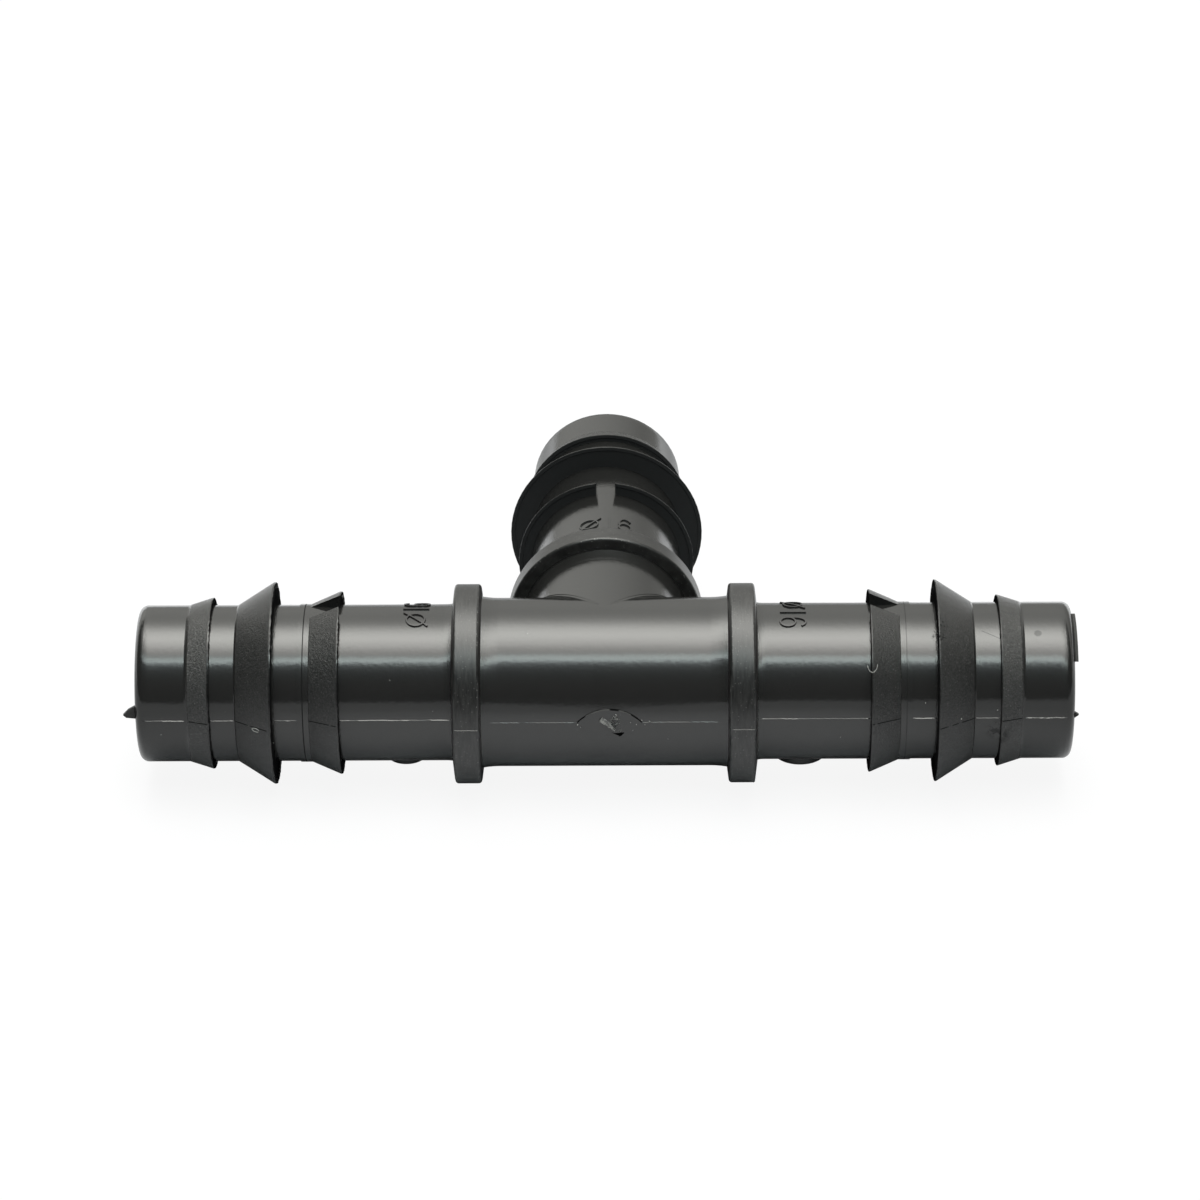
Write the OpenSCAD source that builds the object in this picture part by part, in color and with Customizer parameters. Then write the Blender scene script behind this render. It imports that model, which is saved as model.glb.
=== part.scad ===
// Barbed tee for 16 mm drip line, moulded in one piece.
// The origin is where the axes of the run and the branch cross: the run lies along X, the branch points along +Y.
// Every arm is a revolved profile, and the T-shaped waterway is opened through all of them at the end.

/* [Tube] */
// Distance from the middle of the tee to the end of each run arm
run_length = 38.6; // [37.5:0.25:60]
// Distance from the middle of the tee to the end of the branch
branch_length = 38.6; // [37.5:0.25:60]
// Outside diameter of the spigots
spigot_d = 13; // [12.4:0.1:13.6]
// Outside diameter of the body, the part of the run and of the branch that lies between the three collars
body_d = 14; // [13:0.1:14.8]
// Diameter of the waterway
bore_d = 10.4; // [9:0.1:11]
// Radius of the rounded end of each spigot
nose_r = 0.65; // [0.3:0.05:1.1]
// Size of the lead-in at each mouth
mouth_lead = 0.15; // [0.05:0.05:0.25]

/* [Collars] */
// Distance from the middle of the tee to the centre of each collar
collar_at = 11.35; // [10.5:0.05:13]
// Diameter over a collar
collar_d = 16.6; // [15.6:0.1:20]
// Width of a collar at its root
collar_root_w = 2.75; // [2.2:0.05:3.2]
// Width of a collar at its rim
collar_rim_w = 2.2; // [1:0.05:2.2]
// Radius of the rim's two edges
collar_edge_r = 0.28; // [0.1:0.02:0.4]
// Distance by which the collars sit below the axes of the tubes
collar_drop = 0.16; // [0:0.02:0.3]
// Length of the flare by which the body swells into each collar
body_flare_l = 1.5; // [0.5:0.1:2.5]
// Rise of that flare
body_flare_rise = 0.14; // [0.05:0.01:0.25]
// Length of the flare by which each spigot swells into its collar
spigot_flare_l = 0.75; // [0.3:0.05:1.5]
// Rise of that flare
spigot_flare_rise = 0.08; // [0.03:0.01:0.15]

/* [Barbs] */
// Distance from the crest of the middle barb in to the crest of the inner barb
inner_barb_pitch = 5.47; // [5:0.01:6]
// Diameter over the inner barb
inner_barb_d = 15.2; // [14.6:0.1:16]
// Angle of the inner barb's ramp to the axis
inner_ramp_angle = 23.5; // [21:0.5:35]
// Distance from the crest of the outer barb in to the crest of the middle barb
middle_barb_pitch = 5.17; // [5:0.01:6]
// Diameter over the middle barb
middle_barb_d = 16.8; // [15.6:0.1:17.4]
// Angle of the middle barb's ramp to the axis
middle_ramp_angle = 32.3; // [29:0.1:40]
// Distance from the end of an arm in to the crest of its outer barb
plain_end = 6.05; // [5:0.05:7]
// Diameter over the outer barb
outer_barb_d = 14.24; // [13.8:0.02:15]
// Angle of the outer barb's ramp to the axis
outer_ramp_angle = 17.8; // [16:0.2:26]
// Lean of every barb's back face, which lets it leave the mould
back_angle = 1; // [0:1:14]
// Radius of every barb's rounded crest
crest_r = 0.25; // [0.1:0.05:0.6]
// Diameter of the low step at the foot of the inner barb
step_d = 13.15; // [13.06:0.01:13.3]
// Distance from the crest of the inner barb to the far edge of that step
step_reach = 3.36; // [3:0.02:3.6]
// Length over which that step rises out of the spigot
step_rise_l = 1.2; // [0.5:0.1:2]
// Width of the slot through the top of the branch's inner barb
slot_w = 1.65; // [1:0.05:3]
// Further width of the slots on the run, on the side towards the branch
slot_extra = 0.45; // [0:0.05:1]

/* [Mould marks] */
// Diameters of the ejector pads under the right, branch and left arms
pad_d = [4.5, 3.9, 3.4];
// Distance from the centre of each collar to the middle of its pad
pad_at = [4.9, 5.1, 5.3];
// How far those pads stand out below the spigot
pad_proud = [0.35, 0.4, 0.47];
// Radius of the pads' rounded edge
pad_edge_r = 0.25; // [0.1:0.05:0.3]
// Length of the lens-shaped gate pad on the front of the run
gate_length = 5.3; // [3:0.1:7]
// Height of the gate pad
gate_height = 2.4; // [1.6:0.1:3]
// How far the gate pad stands out of the run
gate_proud = 0.16; // [0.05:0.01:0.4]
// Distance of the gate pad's middle from the middle of the run, towards the right arm
gate_offset = 0.4; // [-0.5:0.1:0.5]
// Distance from the run's axis to the middle of the burr on the front of each end
burr_at = 5.7; // [5.65:0.01:5.75]
// Thickness of the burrs
burr_t = 0.3; // [0.1:0.05:0.3]
// Outline of the burr on the left end, as distance beyond that end and height above the parting line
left_burr = [[0, 1], [0.55, 0.68], [1, 0.2], [0.75, -0.04], [0, -0.12]];
// Outline of the burr on the right end
right_burr = [[0, 0.1], [0.35, -0.12], [0, -0.4]];
// Distance from the run's axis to the outside of the lip of flash on the right end
lip_r = 6; // [5.9:0.01:6.1]
// Thickness of that lip
lip_t = 0.14; // [0.1:0.01:0.2]
// Length of that lip
lip_length = 0.28; // [0.1:0.02:0.5]
// Angles at which the lip starts and stops, from straight up towards the front
lip_from_to = [-4, 47];

/* [Hidden] */
$fn = 96;
bore_r = bore_d / 2;
spigot_r = spigot_d / 2;
body_r = body_d / 2;
collar_r = collar_d / 2;
// Depth to which whatever stands on a tube reaches into its wall
sink = (spigot_r - bore_r) / 2;
seat_r = spigot_r - sink;
// Length by which a cut runs past the surface that it opens
past = 1;
// Directions of the right, branch and left arms, as turns about Z
turns = [0, 90, 180];
// Side on which the branch lies, seen along each of those arms: 1 left, -1 right, 0 neither
branch_sides = [1, 0, -1];

// Half profile of a plain cylinder with a rounded edge at its end, as radius and distance along its axis
module rounded_half(radius, length, edge_r) {
    square([radius, length - edge_r]);
    square([radius - edge_r, length]);
    translate([radius - edge_r, length - edge_r])
        circle(edge_r);
}

// Half profile of a flare that rises from a cylinder, starting at a given distance along the arm and going outwards
// (1) or inwards (-1)
module flare_half(tube_r, start, reach, rise, way) {
    flare_r = (reach * reach + rise * rise) / (2 * rise);
    translate([tube_r, start])
        mirror([0, way < 0 ? 1 : 0])
            difference() {
                square([rise, reach]);
                translate([flare_r, 0])
                    circle(flare_r);
            }
}

// Half profile of a collar, with drafted sides and round rim edges
module collar_half() {
    edge_at = collar_rim_w / 2 - collar_edge_r;
    edge_in = collar_r - collar_edge_r;
    draft = atan((collar_root_w - collar_rim_w) / 2 / (collar_r - seat_r));
    side = edge_at + collar_edge_r * cos(draft);
    side_r = edge_in + collar_edge_r * sin(draft);
    foot = collar_root_w / 2;
    polygon([[seat_r, -foot], [side_r, -side], [collar_r, -edge_at],
        [collar_r, edge_at], [side_r, side], [seat_r, foot]]);
    for (end = [-1, 1])
        translate([edge_in, end * edge_at])
            circle(collar_edge_r);
}

// Half profile of the body, and of the flares that lead into both sides of the collar
module body_half() {
    rim = collar_rim_w / 2;
    square([body_r, collar_at]);
    flare_half(body_r, collar_at - rim - body_flare_l, body_flare_l, body_flare_rise, 1);
    flare_half(spigot_r, collar_at + rim + spigot_flare_l, spigot_flare_l, spigot_flare_rise, -1);
}

// Half profile of a barb whose crest lies at a given distance along the arm: leaning back face, crest and ramp
module barb_half(crest_at, over_d, ramp_angle) {
    top_r = over_d / 2;
    mid = [top_r - crest_r, crest_at];
    ramp = mid + crest_r * [cos(ramp_angle), sin(ramp_angle)];
    back_foot = crest_at - (top_r - seat_r) * tan(back_angle);
    ramp_foot = ramp[1] + (ramp[0] - seat_r) / tan(ramp_angle);
    polygon([[seat_r, back_foot], [top_r, crest_at], mid, ramp, [seat_r, ramp_foot]]);
    translate(mid)
        intersection() {
            circle(crest_r);
            square(crest_r);
        }
}

// Revolves a half profile about an arm that lies along +X
module revolve() {
    rotate([0, 90, 0])
        rotate_extrude($fn = 96)
            children();
}

// Inner barb with the slot through its top, and the low step at its foot
module inner_barb(crest_at, branch_side) {
    slot_right = slot_w / 2 + (branch_side < 0 ? slot_extra : 0);
    slot_left = slot_w / 2 + (branch_side > 0 ? slot_extra : 0);
    step_r = step_d / 2;
    difference() {
        revolve()
            barb_half(crest_at, inner_barb_d, inner_ramp_angle);
        translate([crest_at - past, -slot_right, 0])
            cube([step_reach + 2 * past, slot_right + slot_left, inner_barb_d]);
    }
    revolve()
        polygon([[seat_r, crest_at], [spigot_r, crest_at], [step_r, crest_at + step_rise_l],
            [step_r, crest_at + step_reach], [seat_r, crest_at + step_reach]]);
}

// One whole arm along +X, from the middle of the tee to the nose
module arm(length, branch_side) {
    outer_at = length - plain_end;
    middle_at = outer_at - middle_barb_pitch;
    revolve() {
        rounded_half(spigot_r, length, nose_r);
        body_half();
        barb_half(middle_at, middle_barb_d, middle_ramp_angle);
        barb_half(outer_at, outer_barb_d, outer_ramp_angle);
    }
    inner_barb(middle_at - inner_barb_pitch, branch_side);
    translate([collar_at, 0, -collar_drop])
        revolve()
            collar_half();
}

// Round pad that an ejector pin leaves under an arm
module ejector_pad(index) {
    translate([collar_at + pad_at[index], 0, 0])
        rotate([180, 0, 0])
            rotate_extrude($fn = 96)
                rounded_half(pad_d[index] / 2, spigot_r + pad_proud[index], pad_edge_r);
}

// Lens-shaped pad on the front of the run, where the plastic came in
module gate_pad() {
    half = gate_height / 2;
    lens_r = (gate_length * gate_length / 4 + half * half) / gate_height;
    translate([gate_offset, 0, 0])
        rotate([90, 0, 0])
            linear_extrude(body_r + gate_proud)
                intersection() {
                    translate([0, half - lens_r])
                        circle(lens_r);
                    translate([0, lens_r - half])
                        circle(lens_r);
                }
}

// Burr on the front of an end of the run, here the right one, at the parting line
module burr(outline) {
    top = outline[0][1];
    bottom = outline[len(outline) - 1][1];
    translate([run_length, burr_t / 2 - burr_at, 0])
        rotate([90, 0, 0])
            linear_extrude(burr_t)
                polygon(concat([[-nose_r, bottom], [-nose_r, top]], outline));
}

// Thin lip of flash round part of the mouth at the right end
module lip() {
    reach = 2 * lip_r;
    intersection() {
        translate([run_length - nose_r, 0, 0])
            revolve()
                translate([lip_r - lip_t, 0])
                    square([lip_t, nose_r + lip_length]);
        rotate([90, 0, 90])
            linear_extrude(run_length + past)
                polygon([[0, 0], for (turn = lip_from_to) reach * [-sin(turn), cos(turn)]]);
    }
}

// Straight waterway of one arm along +X, with the lead-in at its mouth
module waterway(length) {
    rotate([0, 90, 0]) {
        cylinder(r = bore_r, h = length + past);
        translate([0, 0, length - mouth_lead])
            cylinder(r1 = bore_r, r2 = bore_r + 2 * mouth_lead, h = 2 * mouth_lead);
    }
}

// The whole moulding
module tee() {
    lengths = [run_length, branch_length, run_length];
    color([0.05, 0.05, 0.055])
        difference() {
            union() {
                for (index = [0:2])
                    rotate([0, 0, turns[index]]) {
                        arm(lengths[index], branch_sides[index]);
                        ejector_pad(index);
                    }
                gate_pad();
                mirror([1, 0, 0])
                    burr(left_burr);
                burr(right_burr);
                lip();
            }
            for (index = [0:2])
                rotate([0, 0, turns[index]])
                    waterway(lengths[index]);
        }
}

tee();
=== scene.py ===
import math

import bpy
import numpy as np
from mathutils import Matrix, Vector


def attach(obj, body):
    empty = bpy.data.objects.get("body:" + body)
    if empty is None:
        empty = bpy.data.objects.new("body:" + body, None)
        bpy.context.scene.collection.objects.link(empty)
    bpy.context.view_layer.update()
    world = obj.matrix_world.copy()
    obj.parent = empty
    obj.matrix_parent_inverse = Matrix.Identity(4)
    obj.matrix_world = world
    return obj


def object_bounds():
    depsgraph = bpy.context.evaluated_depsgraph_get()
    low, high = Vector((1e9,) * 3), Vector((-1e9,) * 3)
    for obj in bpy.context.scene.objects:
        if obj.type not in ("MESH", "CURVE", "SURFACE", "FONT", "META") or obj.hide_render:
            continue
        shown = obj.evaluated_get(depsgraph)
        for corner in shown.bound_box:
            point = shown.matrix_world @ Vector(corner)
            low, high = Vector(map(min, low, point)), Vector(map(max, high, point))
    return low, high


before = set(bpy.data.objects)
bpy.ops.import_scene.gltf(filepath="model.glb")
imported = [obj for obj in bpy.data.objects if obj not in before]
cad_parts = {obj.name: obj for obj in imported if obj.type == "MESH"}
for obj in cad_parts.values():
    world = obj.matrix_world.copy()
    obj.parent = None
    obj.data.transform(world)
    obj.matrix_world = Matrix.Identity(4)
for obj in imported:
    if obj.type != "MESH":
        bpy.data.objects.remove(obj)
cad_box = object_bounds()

MM = 0.001

# Sizes of the tee in mm, as in the part's source
RUN_LENGTH = 38.6
SPIGOT_R = 6.5
BODY_R = 7.0
NOSE_R = 0.65
COLLAR_AT = 11.35
COLLAR_R = 8.3
COLLAR_ROOT_W = 2.75
COLLAR_RIM_W = 2.2
GATE_OFFSET = 0.4
GATE_HALF = 2.65
GATE_FACE = 7.16
# Each barb's crest on its arm and its radius, and the places where ramps and the step meet the plain tube
INNER_BARB = (21.91, 7.6)
MIDDLE_BARB = (27.38, 8.4)
OUTER_BARB = (32.55, 7.12)
STEP_END = 25.27
MIDDLE_FOOT = 30.46
OUTER_FOOT = 34.52
# Where the photograph shows the line that ends the step
STEP_LINE = 24.8
# Each arm's turn from the branch, and its name
ARMS = ((-1, "right"), (0, "branch"), (1, "left"))


# Shader helper
class Graph:
    """Builds a node tree. A socket, a number or a tuple can stand wherever a value is asked for."""

    def __init__(self, tree):
        self.tree = tree
        tree.nodes.clear()

    def node(self, kind, inputs=(), **props):
        n = self.tree.nodes.new(kind)
        for key, value in props.items():
            setattr(n, key, value)
        for key, value in dict(inputs).items():
            if isinstance(value, bpy.types.NodeSocket):
                self.tree.links.new(value, n.inputs[key])
            else:
                n.inputs[key].default_value = value
        return n

    def math(self, op, a, b=0.0, clamp=False):
        return self.node("ShaderNodeMath", {0: a, 1: b}, operation=op, use_clamp=clamp).outputs[0]

    def product(self, first, *others):
        for other in others:
            first = self.math("MULTIPLY", first, other)
        return first

    def total(self, first, *others, clamp=False):
        for other in others:
            first = self.math("ADD", first, other, clamp=clamp)
        return first

    def most(self, first, *others):
        for other in others:
            first = self.math("MAXIMUM", first, other)
        return first

    def vector(self, op, a, b=(0.0, 0.0, 0.0)):
        n = self.node("ShaderNodeVectorMath", {0: a, 1: b}, operation=op)
        return n.outputs["Value"] if op in ("DOT_PRODUCT", "LENGTH") else n.outputs["Vector"]

    def scaled(self, vector, scale):
        inputs = {0: vector, "Scale": scale}
        return self.node("ShaderNodeVectorMath", inputs, operation="SCALE").outputs["Vector"]

    def join(self, x=0.0, y=0.0, z=0.0):
        return self.node("ShaderNodeCombineXYZ", {0: x, 1: y, 2: z}).outputs[0]

    def parts(self, vector):
        return self.node("ShaderNodeSeparateXYZ", {0: vector}).outputs

    def place(self):
        """Place on the object in mm."""
        return self.scaled(self.node("ShaderNodeTexCoord").outputs["Object"], 1 / MM)

    def step(self, value, low, high, to_low=0.0, to_high=1.0):
        """Goes smoothly from to_low at low to to_high at high."""
        inputs = {"Value": value, "From Min": low, "From Max": high, "To Min": to_low, "To Max": to_high}
        return self.node("ShaderNodeMapRange", inputs, interpolation_type="SMOOTHSTEP").outputs[0]

    def band(self, value, centre, half, soft):
        """1 within half of centre, 0 beyond half + soft."""
        off = self.math("ABSOLUTE", self.math("SUBTRACT", value, centre))
        return self.step(off, half, half + soft, 1.0, 0.0)

    def blend(self, factor, a, b):
        inputs = {0: factor, 2: a, 3: b}
        return self.node("ShaderNodeMix", inputs, data_type="FLOAT", clamp_factor=True).outputs[0]

    def tint(self, factor, a, b):
        inputs = {0: factor, 6: a, 7: b}
        return self.node("ShaderNodeMix", inputs, data_type="RGBA", clamp_factor=True).outputs[2]

    def noise(self, where, scale, detail, rough):
        inputs = {"Vector": where, "Scale": scale, "Detail": detail, "Roughness": rough}
        return self.node("ShaderNodeTexNoise", inputs, noise_dimensions="3D").outputs[0]

    def specks(self, where, scale, size, share):
        """Round specks, one in some of the cells of a grid of that scale."""
        n = self.node("ShaderNodeTexVoronoi", {"Vector": where, "Scale": scale}, feature="F1")
        chance = self.node("ShaderNodeSeparateColor", {0: n.outputs["Color"]}).outputs[0]
        return self.product(self.step(n.outputs["Distance"], size, size * 0.5, 0.0, 1.0),
                            self.math("LESS_THAN", chance, share))

    def spot(self, where, centre, radius, soft):
        """1 within a radius of a centre on the unrolled surface."""
        off = self.vector("LENGTH", self.vector("SUBTRACT", where, (centre[0], centre[1], 0.0)))
        return self.step(off, radius, radius + soft, 1.0, 0.0)

    def scratch(self, where, start, stop, half):
        """1 on a thin line from start to stop on the unrolled surface."""
        length = math.dist(start, stop)
        way = ((stop[0] - start[0]) / length, (stop[1] - start[1]) / length, 0.0)
        rel = self.vector("SUBTRACT", where, (start[0], start[1], 0.0))
        along = self.math("MINIMUM", self.math("MAXIMUM", self.vector("DOT_PRODUCT", rel, way), 0.0), length)
        off = self.vector("LENGTH", self.vector("SUBTRACT", rel, self.scaled(way, along)))
        return self.step(off, half, half * 2, 1.0, 0.0)

    def curve(self, value, stops):
        """Smooth curve through (position from 0 to 1, level from 0 to 1) stops."""
        n = self.node("ShaderNodeValToRGB", {0: value})
        ramp = n.color_ramp
        ramp.interpolation = "CARDINAL"
        while len(ramp.elements) < len(stops):
            ramp.elements.new(0.5)
        for element, (position, level) in zip(ramp.elements, stops):
            element.position = position
            element.color = (level, level, level, 1.0)
        return self.node("ShaderNodeSeparateColor", {0: n.outputs[0]}).outputs[0]

    def bump(self, height):
        """Normal of a surface that a height in mm raises."""
        return self.node("ShaderNodeBump", {"Strength": 1.0, "Distance": MM, "Height": height}).outputs[0]

    def plastic(self, colour, roughness, **more):
        inputs = {"Base Color": colour, "Roughness": roughness}
        inputs.update(more)
        return self.node("ShaderNodeBsdfPrincipled", inputs)

    def surface(self, shader):
        self.node("ShaderNodeOutputMaterial", {"Surface": shader.outputs[0]})


def new_material(name):
    m = bpy.data.materials.new(name)
    m.use_nodes = True
    return m, Graph(m.node_tree)


# The plastic: its colours, each pair from dark to light
PLASTIC_IOR = 1.6
TUBE_COLOURS = ((0.0155, 0.0155, 0.015, 1), (0.0195, 0.0195, 0.019, 1))
RAMP_COLOURS = ((0.008, 0.008, 0.008, 1), (0.056, 0.056, 0.054, 1))
COLLAR_COLOURS = ((0.006, 0.006, 0.006, 1), (0.026, 0.026, 0.025, 1))
FLECK_COLOUR = (0.24, 0.24, 0.23, 1)
# Wall of the gate pad's upper edge: painted highlight in grey, and near black
PAD_EDGE_HIGHLIGHT = (0.068, 0.068, 0.068, 1)
PAD_EDGE_DARK = (0.004, 0.004, 0.004, 1)
# Backs of the barbs, fitted to the photograph's tones
# painted shade: the barbs' backs are drawn matt near black, darker on the run than on the branch
BACK_RUN_SHADE = (0.012, 0.012, 0.0125, 1)
BACK_BRANCH_SHADE = (0.036, 0.037, 0.038, 1)
BACK_PAINTED_HIGHLIGHT = (0.07, 0.072, 0.075, 1)
# Roughness of each finish
TUBE_ROUGHNESS = 0.1
RAMP_ROUGHNESS = 0.28
COLLAR_ROUGHNESS = 0.26
FLASH_ROUGHNESS = 0.5
# Depth of each texture in mm, the spark's on the ramps and what the outer one has more
TUBE_DEPTH = 0.006
SPARK_DEPTH = 0.07
SPARK_MORE = 0.03
STREAK_DEPTH = 0.014
FLASH_DEPTH = 0.12
# Over how much of its length an arm's end looks worn round, and how fast the wear grows
WORN_LENGTH = 1.2
WORN_RATE = 0.11
# Where along an arm the tube beyond the collar, the barbs and the outer barb begin
TUBE_FROM = 12.9
BARBS_FROM = 20.5
OUTER_FROM = 31.5
# Half width of the thin dark lines in mm
LINE_HALF = 0.03
# Marks on the right arm, by place along the run and height above its front, round the tube
SCRATCH = ((31.0, 7.6), (32.75, 6.66))
SMUDGE = (35.6, 7.33)
SCUFF = (27.5, 7.1)
LOWER_SCUFF = (27.5, 6.15)
SMEAR = (32.3, -1.3)
# Where the pad's upper edge is near black, as middle, half width and softness
PAD_EDGE_DARK_PLACES = ((-1.95, 0.3, 0.12), (0.8, 0.3, 0.15), (2.6, 0.4, 0.1))


def tee_plastic():
    """Black moulded plastic: polished tubes, spark-textured barbs and streaked collars."""
    m, g = new_material("tee plastic")
    place = g.place()
    x, y, z = g.parts(place)
    abs_x = g.math("ABSOLUTE", x)
    on_branch = g.math("GREATER_THAN", y, abs_x)
    on_run_only = g.math("SUBTRACT", 1.0, on_branch)
    axial = g.math("MAXIMUM", abs_x, y)
    across = g.blend(on_branch, y, x)
    radial = g.vector("LENGTH", g.join(across, z))
    around = g.product(g.math("ARCTAN2", across, z), SPIGOT_R)
    facing = g.node("ShaderNodeNewGeometry").outputs["True Normal"]
    nx, ny, nz = g.parts(facing)
    away = g.blend(on_branch, g.product(nx, g.math("SIGN", x)), ny)
    # the run unrolled, its front at height 0, to place marks on it
    unrolled = g.join(x, g.product(g.math("ARCTAN2", z, g.product(y, -1.0)), SPIGOT_R))

    on_barb = g.product(g.step(radial, SPIGOT_R + 0.03, SPIGOT_R + 0.1),
                        g.step(axial, BARBS_FROM, BARBS_FROM + 0.3))
    on_collar = g.product(g.step(radial, BODY_R + 0.14, BODY_R + 0.3),
                          g.band(axial, COLLAR_AT, COLLAR_ROOT_W / 2 + 0.1, 0.1))
    # the barbs' backs, which get painted shade
    on_back = g.product(g.step(away, -0.6, -0.85), g.step(axial, TUBE_FROM, TUBE_FROM + 0.3))
    on_ramp = g.product(on_barb, g.step(away, 0.1, 0.25))
    on_outer = g.step(axial, OUTER_FROM, OUTER_FROM + 0.1)
    on_flash = g.product(g.step(abs_x, RUN_LENGTH + 0.01, RUN_LENGTH + 0.05), on_run_only)

    # spark texture of the ramps, and the fine polish lines that run round the tubes
    spark = g.noise(place, 5.0, 4.0, 0.75)
    fine = g.step(g.noise(place, 7.5, 3.0, 0.7), 0.34, 0.66)
    grain = g.noise(place, 3.2, 2.0, 0.6)
    wave = g.noise(place, 0.35, 1.0, 0.5)
    turn_apart = g.product(on_branch, 5.0)
    polish = g.noise(g.join(g.product(axial, 8.0), g.product(around, 1.6), turn_apart), 1.0, 3.0, 0.6)
    # streaks that run round a collar's rim
    streak = g.noise(g.join(g.product(axial, 4.5), g.product(around, 0.8), turn_apart), 1.0, 4.0, 0.65)
    # the ends look worn round, more and more towards the nose
    worn = g.math("MAXIMUM", g.math("SUBTRACT", axial, RUN_LENGTH - WORN_LENGTH), 0.0)

    height = g.total(g.product(grain, TUBE_DEPTH), g.product(wave, TUBE_DEPTH), g.product(polish, TUBE_DEPTH))
    height = g.math("SUBTRACT", height, g.product(worn, worn, WORN_RATE))
    height = g.blend(on_ramp, height, g.product(spark, g.total(SPARK_DEPTH, g.product(on_outer, SPARK_MORE))))
    height = g.blend(on_collar, height, g.product(streak, STREAK_DEPTH))
    height = g.blend(on_flash, height, g.product(spark, FLASH_DEPTH))

    roughness = g.total(TUBE_ROUGHNESS, g.product(grain, 0.06))
    roughness = g.blend(on_ramp, roughness, RAMP_ROUGHNESS)
    roughness = g.blend(on_collar, roughness, g.total(COLLAR_ROUGHNESS, g.product(streak, 0.18)))
    roughness = g.blend(on_flash, roughness, FLASH_ROUGHNESS)

    colour = g.tint(g.noise(place, 0.8, 3.0, 0.6), *TUBE_COLOURS)
    coarse = g.tint(g.product(fine, g.total(0.5, g.product(on_outer, 0.3))), *RAMP_COLOURS)
    colour = g.tint(on_ramp, colour, coarse)
    brushed = g.tint(g.step(streak, 0.33, 0.68), *COLLAR_COLOURS)
    colour = g.tint(on_collar, colour, brushed)
    # light flecks: fine ones all over the ramps, a few on the tubes, and a dotted edge on the collars
    flecks = g.product(on_ramp, g.specks(place, 5.0, 0.3, 0.3), g.total(0.22, g.product(on_outer, 0.2)))
    dust = g.product(g.specks(place, 1.7, 0.05, 0.3), 0.5)
    dots = g.product(on_collar, g.specks(place, 4.5, 0.3, 0.35),
                     g.total(0.25, g.product(0.5, g.band(axial, COLLAR_AT - 0.98, 0.07, 0.05))))
    colour = g.tint(g.total(flecks, dust, dots, clamp=True), colour, FLECK_COLOUR)

    # marks: a scratch, a smudge and scuffs on the right arm, and a smear under its parting line
    scratch = g.product(g.scratch(unrolled, *SCRATCH, 0.016), 0.55)
    smudge = g.product(g.spot(unrolled, SMUDGE, 0.24, 0.14), 0.35)
    ragged = g.step(g.noise(place, 5.5, 3.0, 0.7), 0.53, 0.57)
    scuff = g.product(g.spot(unrolled, SCUFF, 0.3, 0.5), ragged)
    lower_scuff = g.product(g.spot(unrolled, LOWER_SCUFF, 0.15, 0.35), ragged)
    patchy = g.step(g.noise(place, 1.3, 3.0, 0.6), 0.45, 0.6)
    smear = g.product(g.spot(unrolled, SMEAR, 0.4, 0.9), patchy, 0.5)
    # painted shade: the parting line shows as a fine dark line on the ramps
    broken = g.step(g.noise(place, 1.6, 2.0, 0.5), 0.38, 0.44)
    seam_painted_shade = g.product(g.band(z, 0.0, LINE_HALF, 0.03), on_ramp, broken)
    # painted shade: a dark line where the step on the run ends, fainter on the right arm
    faint = g.blend(g.math("GREATER_THAN", x, 0.0), 0.9, 0.35)
    step_painted_shade = g.product(g.band(axial, STEP_LINE, LINE_HALF, 0.025),
                          g.step(radial, SPIGOT_R + 0.12, SPIGOT_R + 0.09), on_run_only, faint)

    # wall of the gate pad's upper edge: painted highlight in grey, near black in three places only
    on_edge = g.product(g.band(x, GATE_OFFSET, GATE_HALF, 0.1), g.step(nz, 0.4, 0.55), g.step(y, -6.55, -6.7),
                        g.math("LESS_THAN", radial, BODY_R + 0.3), g.math("GREATER_THAN", z, 0.0))
    pad_edge_dark = g.most(*[g.band(x, *where) for where in PAD_EDGE_DARK_PLACES])
    # the backs of the run's middle barbs get a pale painted highlight in spots near the top
    spots = g.step(g.noise(place, 2.6, 3.0, 0.7), 0.52, 0.6)
    back_painted_highlight = g.product(spots, g.step(radial, 7.2, 7.8), g.step(z, 4.0, 7.0),
                       g.band(axial, MIDDLE_BARB[0], 0.5, 0.1), on_run_only)
    # painted shade on the barbs' backs, one tone for the run and one for the branch, with pale painted
    # highlight spots
    back_painted_shade_and_highlight = g.tint(back_painted_highlight, g.tint(on_branch, BACK_RUN_SHADE, BACK_BRANCH_SHADE), BACK_PAINTED_HIGHLIGHT)
    marks_and_painted_light_colour = g.tint(on_edge, back_painted_shade_and_highlight, g.tint(pad_edge_dark, PAD_EDGE_HIGHLIGHT, PAD_EDGE_DARK))
    # matt mix of real marks and painted light: painted shade on the backs, the step and the parting line, and
    # the pad wall's painted highlight
    matt_marks_and_painted_light = g.most(on_back, scratch, smudge, scuff, lower_scuff, smear, seam_painted_shade, step_painted_shade, on_edge)

    shiny = g.plastic(colour, roughness, Normal=g.bump(height), IOR=PLASTIC_IOR)
    matt = g.node("ShaderNodeBsdfDiffuse", {"Color": marks_and_painted_light_colour})
    g.surface(g.node("ShaderNodeMixShader", {0: matt_marks_and_painted_light, 1: shiny.outputs[0], 2: matt.outputs[0]}))
    return m


def torn_plastic():
    """Stress-whitened grey of torn plastic, rough and mottled."""
    m, g = new_material("torn plastic")
    mottle = g.noise(g.place(), 6.0, 3.0, 0.7)
    colour = g.tint(g.step(mottle, 0.35, 0.65), (0.05, 0.05, 0.05, 1), (0.34, 0.34, 0.33, 1))
    roughness = g.total(0.3, g.product(mottle, 0.2))
    g.surface(g.plastic(colour, roughness, Normal=g.bump(g.product(mottle, 0.08)), IOR=PLASTIC_IOR))
    return m


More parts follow.
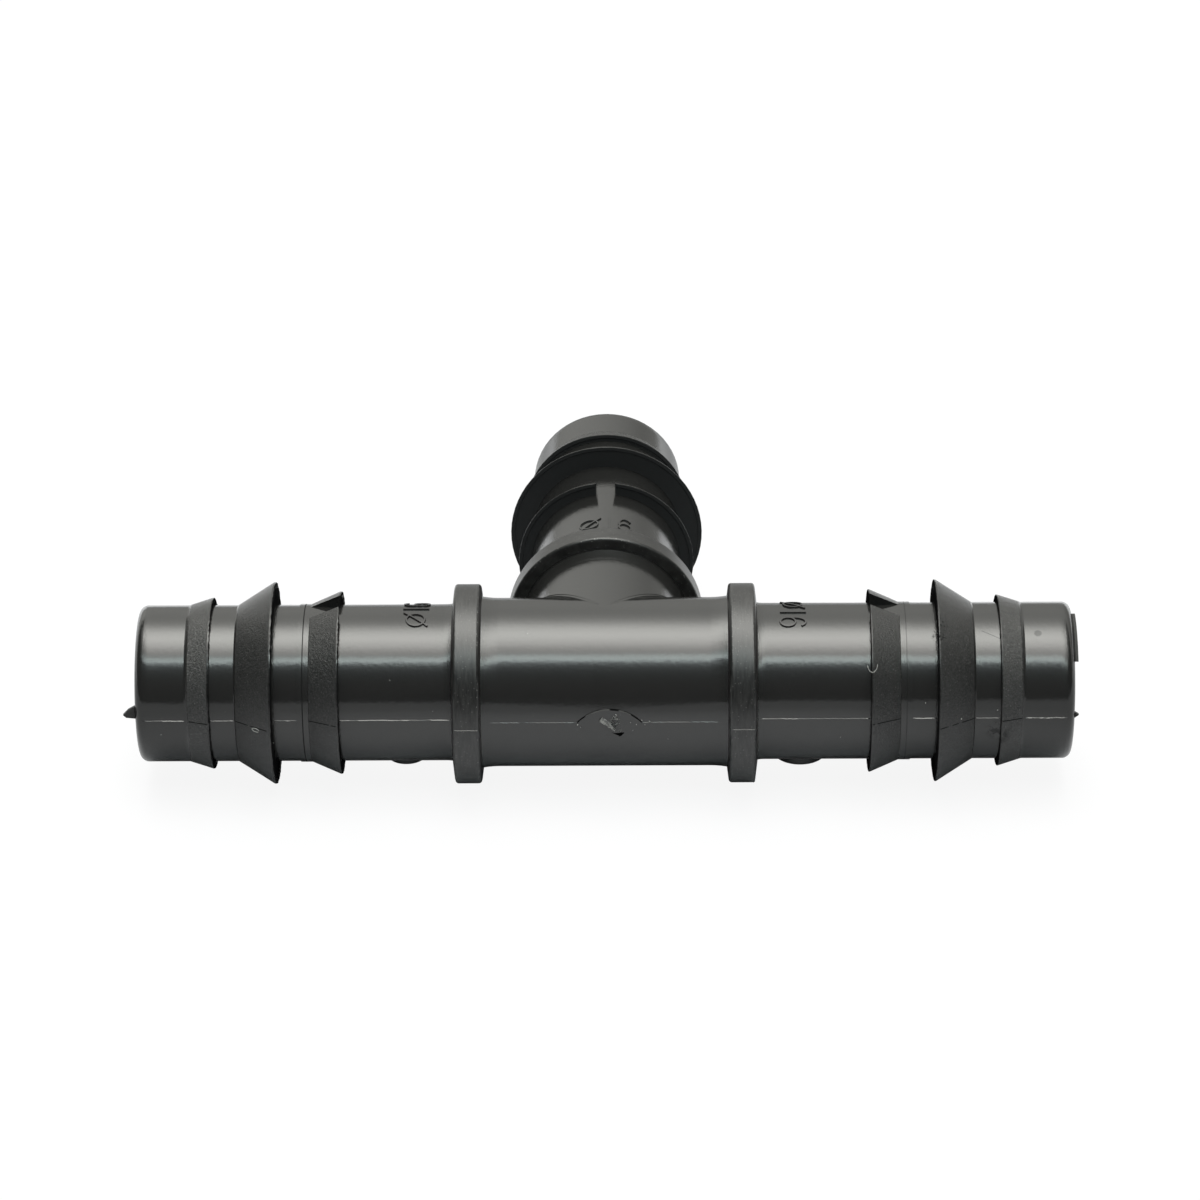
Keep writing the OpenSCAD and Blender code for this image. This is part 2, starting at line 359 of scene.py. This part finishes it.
def hollow_painted_shade():
    """Near black painted shade for a recess, slightly uneven."""
    m, g = new_material("hollow_painted_shade")
    colour = g.tint(g.noise(g.place(), 8.0, 2.0, 0.6), (0.001, 0.001, 0.001, 1), (0.006, 0.006, 0.006, 1))
    g.surface(g.node("ShaderNodeBsdfDiffuse", {"Color": colour, "Roughness": 0.5}))
    return m


def pale_dust():
    """Grains and fibres of light grey dust."""
    m, g = new_material("pale dust")
    colour = g.tint(g.noise(g.place(), 9.0, 2.0, 0.6), (0.4, 0.4, 0.38, 1), (0.75, 0.75, 0.72, 1))
    g.surface(g.plastic(colour, 0.6))
    return m


# Meshes of the small things
def add_piece(name, vertices, faces, material, smooth=False):
    """Mesh from points in mm that rides with the tee."""
    mesh = bpy.data.meshes.new(name)
    mesh.from_pydata([tuple(c * MM for c in v) for v in vertices], [], faces)
    mesh.validate()
    mesh.update()
    if smooth:
        mesh.shade_smooth()
    mesh.materials.append(material)
    o = bpy.data.objects.new(name, mesh)
    bpy.context.scene.collection.objects.link(o)
    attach(o, "root")


def outward(vertices, faces):
    """The faces of a closed body, turned so that they look out."""
    volume = 0.0
    for face in faces:
        ax, ay, az = vertices[face[0]]
        for b, c in zip(face[1:], face[2:]):
            (bx, by, bz), (cx, cy, cz) = vertices[b], vertices[c]
            volume += ax * (by * cz - bz * cy) + ay * (bz * cx - bx * cz) + az * (bx * cy - by * cx)
    return [face[::-1] for face in faces] if volume < 0 else faces


def loft(rings, capped=True):
    """Points and faces of a closed skin over rings that have the same number of points each."""
    n = len(rings[0])
    vertices = [tuple(p) for ring in rings for p in ring]
    faces = []
    for i in range(len(rings) - 1):
        for j in range(n):
            k = (j + 1) % n
            faces.append((i * n + j, i * n + k, (i + 1) * n + k, (i + 1) * n + j))
    if capped:
        faces.append(tuple(range(n - 1, -1, -1)))
        faces.append(tuple((len(rings) - 1) * n + j for j in range(n)))
    return vertices, outward(vertices, faces)


def merged(parts):
    """One list of points and faces out of several."""
    vertices, faces = [], []
    for v, f in parts:
        faces += [tuple(i + len(vertices) for i in face) for face in f]
        vertices += v
    return vertices, faces


def turned(points, arm):
    """Points given for the branch, turned to the right arm (-1), the branch (0) or the left arm (1)."""
    c, s = (1, 0) if arm == 0 else (0, arm)
    return [(c * p[0] - s * p[1], s * p[0] + c * p[1], p[2]) for p in points]


# Size figures
FIGURE_H = 2.16
FIGURE_PROUD = 0.11
STROKE_W = 0.2
# Section of a stroke: places across it as shares of its width, and heights over the tube
STROKE_SECTION = ((-0.5, -0.05), (-0.32, FIGURE_PROUD), (0.32, FIGURE_PROUD), (0.5, -0.05))
# How far out the figures stand on each arm and how far they are shifted round it
FIGURE_PLACES = {"right": (15.57, 0.0), "branch": (16.3, 0.15), "left": (15.57, 0.53)}


def arc(centre, radii, start, stop, steps):
    """Points of an ellipse's arc, angles in degrees from +X towards +Y."""
    turns = np.radians(np.linspace(start, stop, steps))
    return [(centre[0] + radii[0] * math.cos(t), centre[1] + radii[1] * math.sin(t)) for t in turns]


def figure_strokes():
    """Centre lines of a diameter sign, a 1 and a 6, flat: across the tube and along it, in mm."""
    h = FIGURE_H / 2
    ring = arc((-1.58, 0), (0.79, 0.76), 90, 450, 37)
    slash = [(-1.48 + 0.92 * k, 0.98 * k) for k in np.linspace(-1, 1, 13)]
    one = [(0.19, h), (0.19, -h)]
    bowl = arc((1.53, -0.45), (0.52, 0.62), 90, 450, 33)
    tail = arc((1.56, 0.08), (0.55, 0.94), 190, 38, 18)
    return [ring, slash, one, bowl, tail]


def stroke_on_tube(line, arm, at, shift):
    """Raised stroke that follows a flat centre line laid round the tube."""
    line = [np.array(p, float) for p in line]
    rings = []
    for i, p in enumerate(line):
        ahead = line[min(i + 1, len(line) - 1)] - line[max(i - 1, 0)]
        side = np.array([-ahead[1], ahead[0]]) / max(1e-9, float(np.hypot(*ahead)))
        ring = []
        for offset, lift in STROKE_SECTION:
            q = p + side * offset * STROKE_W
            turn, r = (q[0] + shift) / SPIGOT_R, SPIGOT_R + lift
            ring.append((r * math.sin(turn), at + q[1], r * math.cos(turn)))
        rings.append(turned(ring, arm))
    return loft(rings)


def add_figures(material):
    for arm, name in ARMS:
        at, shift = FIGURE_PLACES[name]
        v, f = merged([stroke_on_tube(line, arm, at, shift) for line in figure_strokes()])
        add_piece("size_figures_" + name, v, f, material)


# Parting line: how high and wide its ridge is, and how long the pieces are in which it breaks up
SEAM_PROUD = 0.07
SEAM_PROUD_BODY = 0.035
SEAM_HALF = 0.045
SEAM_PITCH = 0.25
SEAM_SINK = 0.03
SEAM_WANDER = 0.012
# How much of the line stands out on each arm, and the levels where it does and where it doesn't
SEAM_SHARE = {"right": 0.5, "branch": 0.6, "left": 0.6}
SEAM_HIGH = (0.7, 1.1)
SEAM_LOW = (0.45, 0.7)
SEAM_BREAKS = 0.35


def seam_stretches(inner_end):
    """Stretches of an arm along which the parting line stands out, as start, stop and radius."""
    foot = COLLAR_ROOT_W / 2
    rim = COLLAR_RIM_W / 2 - 0.15
    return [(inner_end, COLLAR_AT - foot, BODY_R),
            (COLLAR_AT - rim, COLLAR_AT + rim, COLLAR_R),
            (COLLAR_AT + foot, INNER_BARB[0] - 0.05, SPIGOT_R),
            (STEP_END + 0.02, MIDDLE_BARB[0] - 0.05, SPIGOT_R),
            (MIDDLE_FOOT + 0.02, OUTER_BARB[0] - 0.05, SPIGOT_R),
            (OUTER_FOOT + 0.02, RUN_LENGTH - NOSE_R, SPIGOT_R)]


def ridge(start, stop, radius, side, arm, share, rng):
    """Thin three-cornered ridge along an arm at mid height, its height broken up at random."""
    count = max(3, round((stop - start) / SEAM_PITCH))
    full = SEAM_PROUD_BODY if radius == BODY_R else SEAM_PROUD
    rings = []
    level = 1.0
    for i, at in enumerate(np.linspace(start, stop, count + 1)):
        if rng.random() < SEAM_BREAKS:
            level = rng.uniform(*SEAM_HIGH) if rng.random() < share else rng.uniform(*SEAM_LOW)
        proud = full * level
        if i in (0, count):
            proud *= 0.5
        shift = SEAM_WANDER * rng.standard_normal()
        out = [(radius - SEAM_SINK, SEAM_HALF + shift), (radius + proud, shift - 0.01),
               (radius - SEAM_SINK, shift - SEAM_HALF)]
        rings.append(turned([(side * r, at, z) for r, z in out], arm))
    return loft(rings)


def add_seam(material):
    rng = np.random.default_rng(7)
    for arm, name in ARMS:
        parts = []
        for side in (-1, 1):
            # the run's front is closed up to the gate pad, and its back opens into the branch
            at_front = side * arm < 0
            inner_end = GATE_HALF - arm * GATE_OFFSET if at_front else BODY_R + 0.9
            for start, stop, radius in seam_stretches(inner_end):
                parts.append(ridge(start, stop, radius, side, arm, SEAM_SHARE[name], rng))
        v, f = merged(parts)
        add_piece("parting_line_" + name, v, f, material)


# Worn edges of the crests
EDGE_STEPS = 300
# How far the edge lies in from the crest and below the crest's radius, so that it stays in the part's box
EDGE_IN = 0.01
EDGE_BELOW = 0.014
EDGE_WIDTH = 0.045
EDGE_WIDTH_MIN = 0.025
# How rough and how large the edges are on each arm
EDGE_ROUGH = {"right": 1.0, "branch": 0.25, "left": 1.0}
EDGE_SIZE = {"right": 0.4, "branch": 0.7, "left": 1.0}
# How far the slot in the inner barb reaches to its two sides in mm, counted round the arm
SLOT_SIDES = {"right": (1.4, 0.95), "branch": (0.95, 0.95), "left": (0.95, 1.4)}


def crest_edge(crest, arm, gap, rough, size, rng):
    """Narrow flat and undercut, both wavy, that end a crest towards the middle of the tee."""
    at, radius = crest
    turns = np.linspace(0, 2 * math.pi, EDGE_STEPS, endpoint=False)
    wander = np.cumsum(rng.standard_normal(EDGE_STEPS))
    wander -= np.linspace(0, wander[-1], EDGE_STEPS)
    wander = 0.015 * wander / max(1e-6, np.abs(wander).max())
    wander = rough * (wander + 0.007 * rng.standard_normal(EDGE_STEPS))
    width = EDGE_WIDTH + 0.016 * rough * rng.standard_normal(EDGE_STEPS)
    rings = []
    for turn, off, wide in zip(turns, wander, width):
        way = (turn + math.pi) % (2 * math.pi) - math.pi
        if gap and -gap[0] < way * radius < gap[1]:
            continue
        wide = size * max(EDGE_WIDTH_MIN, wide)
        rim = size * off - EDGE_IN
        out = [(0.02, -0.08), (rim, -EDGE_BELOW), (rim - wide, -EDGE_BELOW - 0.008),
               (rim - wide - 0.02, -0.3), (0.02, -0.45)]
        ring = [((radius + r) * math.sin(turn), at + a, (radius + r) * math.cos(turn)) for a, r in out]
        rings.append(turned(ring, arm))
    if gap:
        return loft(rings)
    return loft(rings + rings[:1], capped=False)


def add_crest_edges(material):
    rng = np.random.default_rng(12)
    for arm, name in ARMS:
        parts = []
        for crest, gap in ((INNER_BARB, SLOT_SIDES[name]), (MIDDLE_BARB, None), (OUTER_BARB, None)):
            parts.append(crest_edge(crest, arm, gap, EDGE_ROUGH[name], EDGE_SIZE[name], rng))
        v, f = merged(parts)
        add_piece("crest_edges_" + name, v, f, material)


# Blend between the run and the branch
FILLET_R = 1.25


def add_fillets(material):
    """Strip that a ball rolled along both tubes would leave in each corner."""
    reach = BODY_R + FILLET_R
    shrink = BODY_R / reach
    for side, name in ((1, "right"), (-1, "left")):
        rings = []
        for turn in np.radians(np.linspace(4, 176, 87)):
            t, z = reach * math.sin(turn), reach * math.cos(turn)
            centre = np.array([t, t, z])
            on_run_tube = np.array([t, t * shrink, z * shrink])
            on_branch_tube = np.array([t * shrink, t, z * shrink])
            a, b = on_run_tube - centre, on_branch_tube - centre
            spread = math.acos(float(np.clip(a @ b / FILLET_R ** 2, -1, 1)))
            ring = []
            for k in np.linspace(0, 1, 9):
                p = centre + (math.sin((1 - k) * spread) * a + math.sin(k * spread) * b) / math.sin(spread)
                ring.append((side * p[0], p[1], p[2]))
            # the strip's underside lies inside the tubes, so that it is a closed body
            ring.append((side * t * shrink * 0.97, t * shrink * 0.97, z * shrink * 0.97))
            rings.append(ring)
        v, f = loft(rings)
        add_piece("corner_fillet_" + name, v, f, material, smooth=True)


# Torn plastic on the gate pad: points on a side of its grid, their spacing, its corner and its depth
TEAR_SIDE = 72
TEAR_PITCH = 0.031
TEAR_CORNER = (-0.75, -1.15)
TEAR_DEPTH = 0.12
# The tongue: where it starts, its way and the length of that way, how long, wide and tall it is
TONGUE_START = (-0.3, 0.42)
TONGUE_WAY = (1.3, -1.0)
TONGUE_WAY_LENGTH = 1.64
TONGUE_LENGTH = 1.5
TONGUE_HALF = 0.17
TONGUE_TALL = 0.34
# Middle and radii of the rough bits and of the last grain
TEAR_BITS = ((0.85, 0.15), (0.42, 0.75))
TEAR_GRAIN = ((1.25, -0.68), (0.1, 0.1))


def thickened(vertices, faces, shift):
    """Closed body between a patch of faces and its copy moved by a shift."""
    used = sorted({i for face in faces for i in face})
    place = {old: new for new, old in enumerate(used)}
    top = [vertices[i] for i in used]
    below = [tuple(c + s for c, s in zip(v, shift)) for v in top]
    n = len(top)
    skin = [tuple(place[i] for i in face) for face in faces]
    edges = {(face[k], face[(k + 1) % len(face)]) for face in skin for k in range(len(face))}
    walls = [(b, a, a + n, b + n) for a, b in sorted(edges) if (b, a) not in edges]
    floor = [tuple(i + n for i in reversed(face)) for face in skin]
    return top + below, skin + floor + walls


def dome(x, z, middle, radii):
    """1 in the middle of an ellipse, 0 on its edge and less outside."""
    return 1 - ((x - middle[0]) / radii[0]) ** 2 - ((z - middle[1]) / radii[1]) ** 2


def tear_height(x, z, noise):
    """Height of the torn plastic over the pad."""
    dx, dz = x - TONGUE_START[0], z - TONGUE_START[1]
    along = (dx * TONGUE_WAY[0] + dz * TONGUE_WAY[1]) / TONGUE_WAY_LENGTH
    off = (dz * TONGUE_WAY[0] - dx * TONGUE_WAY[1]) / TONGUE_WAY_LENGTH
    reach = (TONGUE_HALF - 0.04 * along) * (1 + 0.6 * noise)
    tall = 0.0
    if 0 < along < TONGUE_LENGTH and abs(off) < reach:
        tall = TONGUE_TALL * (0.6 - 0.5 * off / reach) + 0.12 * noise
    bits = dome(x, z, *TEAR_BITS)
    if bits > 0:
        tall = max(tall, noise * math.sqrt(bits) - 0.02)
    last = dome(x, z, *TEAR_GRAIN)
    if last > 0:
        tall = max(tall, 0.2 * math.sqrt(last))
    return tall


def add_tear(material):
    """Torn plastic on the gate pad: a tongue that runs down to the right, rough bits and a last grain."""
    rng = np.random.default_rng(5)
    count = TEAR_SIDE
    rough = rng.random((count + 2, count + 2))
    rough = (rough[1:, 1:] + rough[:-1, 1:] + rough[1:, :-1] + rough[:-1, :-1]) / 4
    vertices = []
    for j in range(count):
        for i in range(count):
            x, z = TEAR_CORNER[0] + TEAR_PITCH * i, TEAR_CORNER[1] + TEAR_PITCH * j
            tall = tear_height(x, z, float(rough[j, i]) - 0.5)
            vertices.append((x, -(GATE_FACE - 0.02 + max(0.0, tall)), z))
    quads = {}
    for j in range(count - 1):
        for i in range(count - 1):
            a = j * count + i
            quads[i, j] = (a, a + 1, a + count + 1, a + count)
    cells = {c for c, quad in quads.items() if max(-vertices[k][1] for k in quad) > GATE_FACE}
    # cells that meet in a corner alone get a sunk neighbour, so that no edge has four faces
    while True:
        between = {(i + d, j) for i, j in cells for d in (-1, 1)
                   if (i + d, j + 1) in cells and (i + d, j) not in cells and (i, j + 1) not in cells}
        if not between:
            break
        cells |= between
    vertices, faces = thickened(vertices, [quads[c] for c in sorted(cells)], (0.0, TEAR_DEPTH, 0.0))
    add_piece("gate_tear", vertices, faces, material)


# Outline of the recess at the pad's lower edge, filled with painted shade, and how deep it starts
NOTCH = ((0.6, -0.86), (0.85, -0.94), (1.1, -0.91), (1.3, -0.86), (1.62, -0.88), (1.5, -1.0), (1.38, -1.16),
         (1.22, -1.23), (1.1, -1.12), (0.85, -1.02))
NOTCH_DEPTH = 6.9


def add_notch_shade(material):
    """Block in near black painted shade, in the recess that the tear left at the lower edge of the gate pad.
    """
    v, f = loft([[(x, -r, z) for x, z in NOTCH] for r in (NOTCH_DEPTH, GATE_FACE + 0.02)])
    add_piece("gate_notch_painted_shade", v, f, material)


def on_run(x, turn, radius):
    """Point on the run by its place along it, degrees up from the front and radius."""
    t = math.radians(turn)
    return np.array([x, -radius * math.cos(t), radius * math.sin(t)])


def grain(centre, size, rng):
    """Small uneven lump."""
    rings = []
    for k in range(5):
        tilt = math.pi * (k + 0.5) / 5
        ring = []
        for turn in np.linspace(0, 2 * math.pi, 8, endpoint=False):
            r = size * rng.uniform(0.7, 1.25)
            way = (math.sin(tilt) * math.cos(turn), math.sin(tilt) * math.sin(turn), math.cos(tilt))
            ring.append(centre + r * np.array(way))
        rings.append(ring)
    return loft(rings)


def thread(points, size):
    """Thin fibre through points."""
    rings = []
    for i, p in enumerate(points):
        ahead = points[min(i + 1, len(points) - 1)] - points[max(i - 1, 0)]
        ahead = ahead / np.linalg.norm(ahead)
        side = np.cross(ahead, (0.3, -0.8, 0.5))
        side = side / np.linalg.norm(side)
        top = np.cross(side, ahead)
        rings.append([p + size * (math.cos(t) * side + math.sin(t) * top)
                      for t in np.linspace(0, 2 * math.pi, 6, endpoint=False)])
    return loft(rings)


# Grains of dust on the run: place along it, degrees up from the front, radius and size
GRAINS = ((32.2, 6.2, 6.51, 0.05), (29.2, 2.7, 7.28, 0.055), (-2.2, -1.0, 7.17, 0.042),
          (-2.0, -3.0, 7.12, 0.03), (2.15, 0.5, 7.17, 0.032), (2.6, -1.0, 7.15, 0.03),
          (3.05, 1.5, 7.03, 0.036), (3.3, -2.0, 7.02, 0.034),
          (3.7, 0.8, 7.02, 0.042), (2.3, -6.0, 7.1, 0.035), (-14.1, 7.0, 6.51, 0.03), (22.1, 44.5, 7.5, 0.03),
          (-24.0, 5.5, 6.59, 0.035), (26.3, 12.0, 6.51, 0.03), (-17.6, 30.0, 6.51, 0.03),
          (-36.5, -12.0, 6.51, 0.03), (-27.3, -20.0, 6.6, 0.03), (5.2, -14.0, 7.01, 0.03),
          (-6.3, 63.0, 7.01, 0.03), (19.4, -17.0, 6.51, 0.03))
FIBRE_SIZE = 0.016
CURL_SIZE = 0.026
CURL_AT = (-28.6, -1.7, 7.67)


def add_dust(material):
    rng = np.random.default_rng(3)
    parts = [grain(on_run(x, turn, radius), size, rng) for x, turn, radius, size in GRAINS]
    # a fibre that hangs in a loop over the right inner barb
    loop = [on_run(INNER_BARB[0] - 0.44 * math.cos(t), 40.0 - 6.5 * math.sin(t),
                   INNER_BARB[1] + 0.03 + 0.19 * min(0.0, math.cos(t)))
            for t in np.linspace(0.35, 2.95, 16)]
    parts.append(thread(loop, FIBRE_SIZE))
    # a curl of swarf where the parting line crosses the left middle ramp
    at, turn, radius = CURL_AT
    curl = [on_run(at + 0.3 * math.cos(t), turn + 1.2 * math.sin(t), radius + 0.19 * math.cos(t))
            for t in np.linspace(0.3, 5.6, 14)]
    parts.append(thread(curl, CURL_SIZE))
    v, f = merged(parts)
    add_piece("dust", v, f, material)


# Flash on the right collar: its start and end in degrees up from the front, and its height
FLASH_TURNS = (-82, -42)
FLASH_TALL = 0.15


def add_collar_flash(material):
    """Sliver of flash on the lower outer edge of the right collar."""
    start, stop = FLASH_TURNS
    rings = []
    for turn in np.linspace(start, stop, 21):
        tall = FLASH_TALL * math.sin(math.pi * (turn - start) / (stop - start)) + 0.005
        section = ((12.0, -0.1), (12.3, tall), (12.42, tall * 0.6), (12.42, -0.25))
        rings.append([on_run(x, turn, COLLAR_R + r) for x, r in section])
    v, f = loft(rings)
    add_piece("collar_flash", v, f, material)


# Studio
FLOOR_Z = cad_box[0][2]
FLOOR_SIZE = 4.0
FLOOR_COLOUR = (0.84, 0.84, 0.88, 1)
BLACK = (0.0, 0.0, 0.0, 1)
WHITE = (1, 1, 1, 1)


def add_floor():
    """White table that shows near white to the camera, fades away from the tee and keeps its soft shadow."""
    m, g = new_material("white table")
    seen = g.node("ShaderNodeLightPath").outputs["Is Camera Ray"]
    place = g.place()
    far = g.vector("LENGTH", place)
    # the table dims with the distance from the tee
    x, y, z = g.parts(place)
    fade = g.total(g.step(far, 15.0, 60.0, 0.38, 0.0), g.step(far, 60.0, 500.0, 0.5, 0.33))
    # behind the run its middle is dimmer than its two sides
    beside = g.step(g.math("DIVIDE", g.math("ABSOLUTE", x), g.math("MAXIMUM", y, 1.0)), 0.3, 0.44)
    fade = g.blend(g.step(y, 0.0, 60.0), fade, g.blend(beside, 0.5, 1.0))
    fade = g.blend(seen, fade, 1.0)
    matt = g.node("ShaderNodeBsdfDiffuse", {"Color": g.tint(fade, BLACK, FLOOR_COLOUR)})
    glow = g.node("ShaderNodeEmission", {"Color": WHITE, "Strength": 1.0})
    lit = g.product(seen, 0.9)
    g.surface(g.node("ShaderNodeMixShader", {0: lit, 1: matt.outputs[0], 2: glow.outputs[0]}))
    bpy.ops.mesh.primitive_plane_add(size=FLOOR_SIZE, location=(0, 0, FLOOR_Z))
    floor = bpy.context.object
    floor.name = "table"
    floor.data.materials.append(m)


# Brightness of the studio seen from the tee, by the angle from the front horizon over the top to the back
# one. It was worked out from the photograph's tones at some rows of the body, then tuned by renders.
STUDIO_PEAK = 8.0
STUDIO_REST = 0.06
STUDIO = ((0, 0.004), (20, 0.006), (30, 0.01), (36, 0.017), (42, 0.03), (47, 0.055), (51, 0.105), (54, 0.19),
          (57, 0.32), (61, 0.39), (66, 0.41), (70, 0.44), (73, 0.5), (75.5, 0.56), (78, 0.66), (81.5, 0.77),
          (88, 0.89), (94, 0.96), (101, 0.88), (107.6, 0.73), (115, 0.48), (122.6, 0.29), (131, 0.195),
          (140, 0.148), (150, 0.12), (160, 0.092), (170, 0.065), (178, 0.05))
# The strip lamp: its lower and upper edge and the softness of both in degrees, its level over the curve, and
# how far it bends on the left, as a share of half a turn
STRIP = (57.3, 65.6)
STRIP_SOFT = (2.0, 0.6)
STRIP_LEVEL = 0.34
STRIP_BEND = 0.018
# How far the lamps stand askew to the tee
ASKEW = 0.16
# Colours of the light, from overhead down to the front
WARM = (1.0, 1.0, 0.95, 1)
COOL = (0.88, 1.0, 0.97, 1)
COOLER = (0.86, 0.98, 1.0, 1)


def add_world():
    """Soft box overhead, a strip in front of it, a wall behind and a dark room on the camera's side."""
    world = bpy.data.worlds.new("studio")
    bpy.context.scene.world = world
    world.use_nodes = True
    g = Graph(world.node_tree)
    x, y, z = g.parts(g.node("ShaderNodeTexCoord").outputs["Generated"])
    over = g.math("DIVIDE", g.math("ARCTAN2", z, g.product(y, -1.0)), math.pi)
    over = g.total(over, g.product(x, ASKEW))
    # the strip is made of beads with gaps between them
    beads = g.noise(g.join(g.product(x, 26.0), g.product(over, 48.0)), 1.0, 1.0, 0.5)
    beads = g.step(beads, 0.38, 0.62, 0.1, 2.1)
    low, high = STRIP
    bent = g.total(over, g.step(x, -0.025, -0.06, 0.0, STRIP_BEND))
    rise = g.step(bent, (low - STRIP_SOFT[0]) / 180, low / 180)
    fall = g.step(bent, high / 180, (high + STRIP_SOFT[1]) / 180, 1.0, 0.0)
    strip = g.product(rise, fall, beads, STRIP_LEVEL)
    level = g.total(g.curve(over, [(a / 180, s) for a, s in STUDIO]), strip)
    # the lamps are narrow from side to side, with a faint spill, and the wall behind is wide
    off = g.math("ABSOLUTE", x)
    width = g.total(g.step(off, 0.16, 0.34, 0.75, 0.0), g.step(off, 0.3, 0.7, 0.25, 0.0))
    width = g.blend(g.step(over, 0.72, 0.82), width, 1.0)
    level = g.product(level, width, STUDIO_PEAK)
    level = g.total(g.product(level, g.math("GREATER_THAN", z, 0.0)), STUDIO_REST)
    seen = g.node("ShaderNodeLightPath").outputs["Is Camera Ray"]
    tone = g.tint(g.step(over, 0.39, 0.34), WARM, COOL)
    tone = g.tint(g.step(over, 0.33, 0.28), tone, COOLER)
    tone = g.tint(g.step(over, 0.2, 0.12), tone, WHITE)
    sky_inputs = {"Color": g.tint(seen, tone, WHITE), "Strength": g.blend(seen, level, 1.0)}
    sky = g.node("ShaderNodeBackground", sky_inputs)
    g.node("ShaderNodeOutputWorld", {"Surface": sky.outputs[0]})


# Camera: the photograph's viewpoint, in metres, degrees and pixels of the photograph
CAMERA_DISTANCE = 0.411
CAMERA_ELEVATION = 28.57
CAMERA_AZIMUTH = 0.5
CAMERA_ROLL = 0.474
FOCAL_PX = 4938.0
FRAME_PX = 1200.0
SENSOR_MM = 36.0
# How far below and to the right of the frame's middle the tee's origin lies
ORIGIN_BELOW = 0.006783
ORIGIN_RIGHT = 0.000416


def add_camera():
    elevation, azimuth, roll = (math.radians(a) for a in (CAMERA_ELEVATION, CAMERA_AZIMUTH, CAMERA_ROLL))
    back = Vector((math.cos(elevation) * math.sin(azimuth), -math.cos(elevation) * math.cos(azimuth),
                   math.sin(elevation)))
    right = Vector((0, 0, 1)).cross(back).normalized()
    up = back.cross(right)
    tilted_right = right * math.cos(roll) - up * math.sin(roll)
    tilted_up = up * math.cos(roll) + right * math.sin(roll)
    place = back * CAMERA_DISTANCE
    aim = tilted_up * ORIGIN_BELOW - tilted_right * ORIGIN_RIGHT
    look = (place - aim).normalized()
    side = tilted_up.cross(look).normalized()
    top = look.cross(side)
    data = bpy.data.cameras.new("camera")
    data.sensor_width = SENSOR_MM
    data.lens = FOCAL_PX / FRAME_PX * SENSOR_MM
    data.clip_start = 0.01
    data.clip_end = 20
    camera = bpy.data.objects.new("camera", data)
    bpy.context.scene.collection.objects.link(camera)
    camera.matrix_world = Matrix.Translation(place) @ Matrix((side, top, look)).transposed().to_4x4()
    bpy.context.scene.camera = camera


plastic = tee_plastic()
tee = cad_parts["tee"]
tee.data.materials.clear()
tee.data.materials.append(plastic)
add_figures(plastic)
add_seam(plastic)
add_fillets(plastic)
add_crest_edges(plastic)
add_tear(torn_plastic())
add_notch_shade(hollow_painted_shade())
add_dust(pale_dust())
add_collar_flash(plastic)
add_floor()
add_world()
add_camera()
bpy.context.scene.view_settings.view_transform = "Standard"
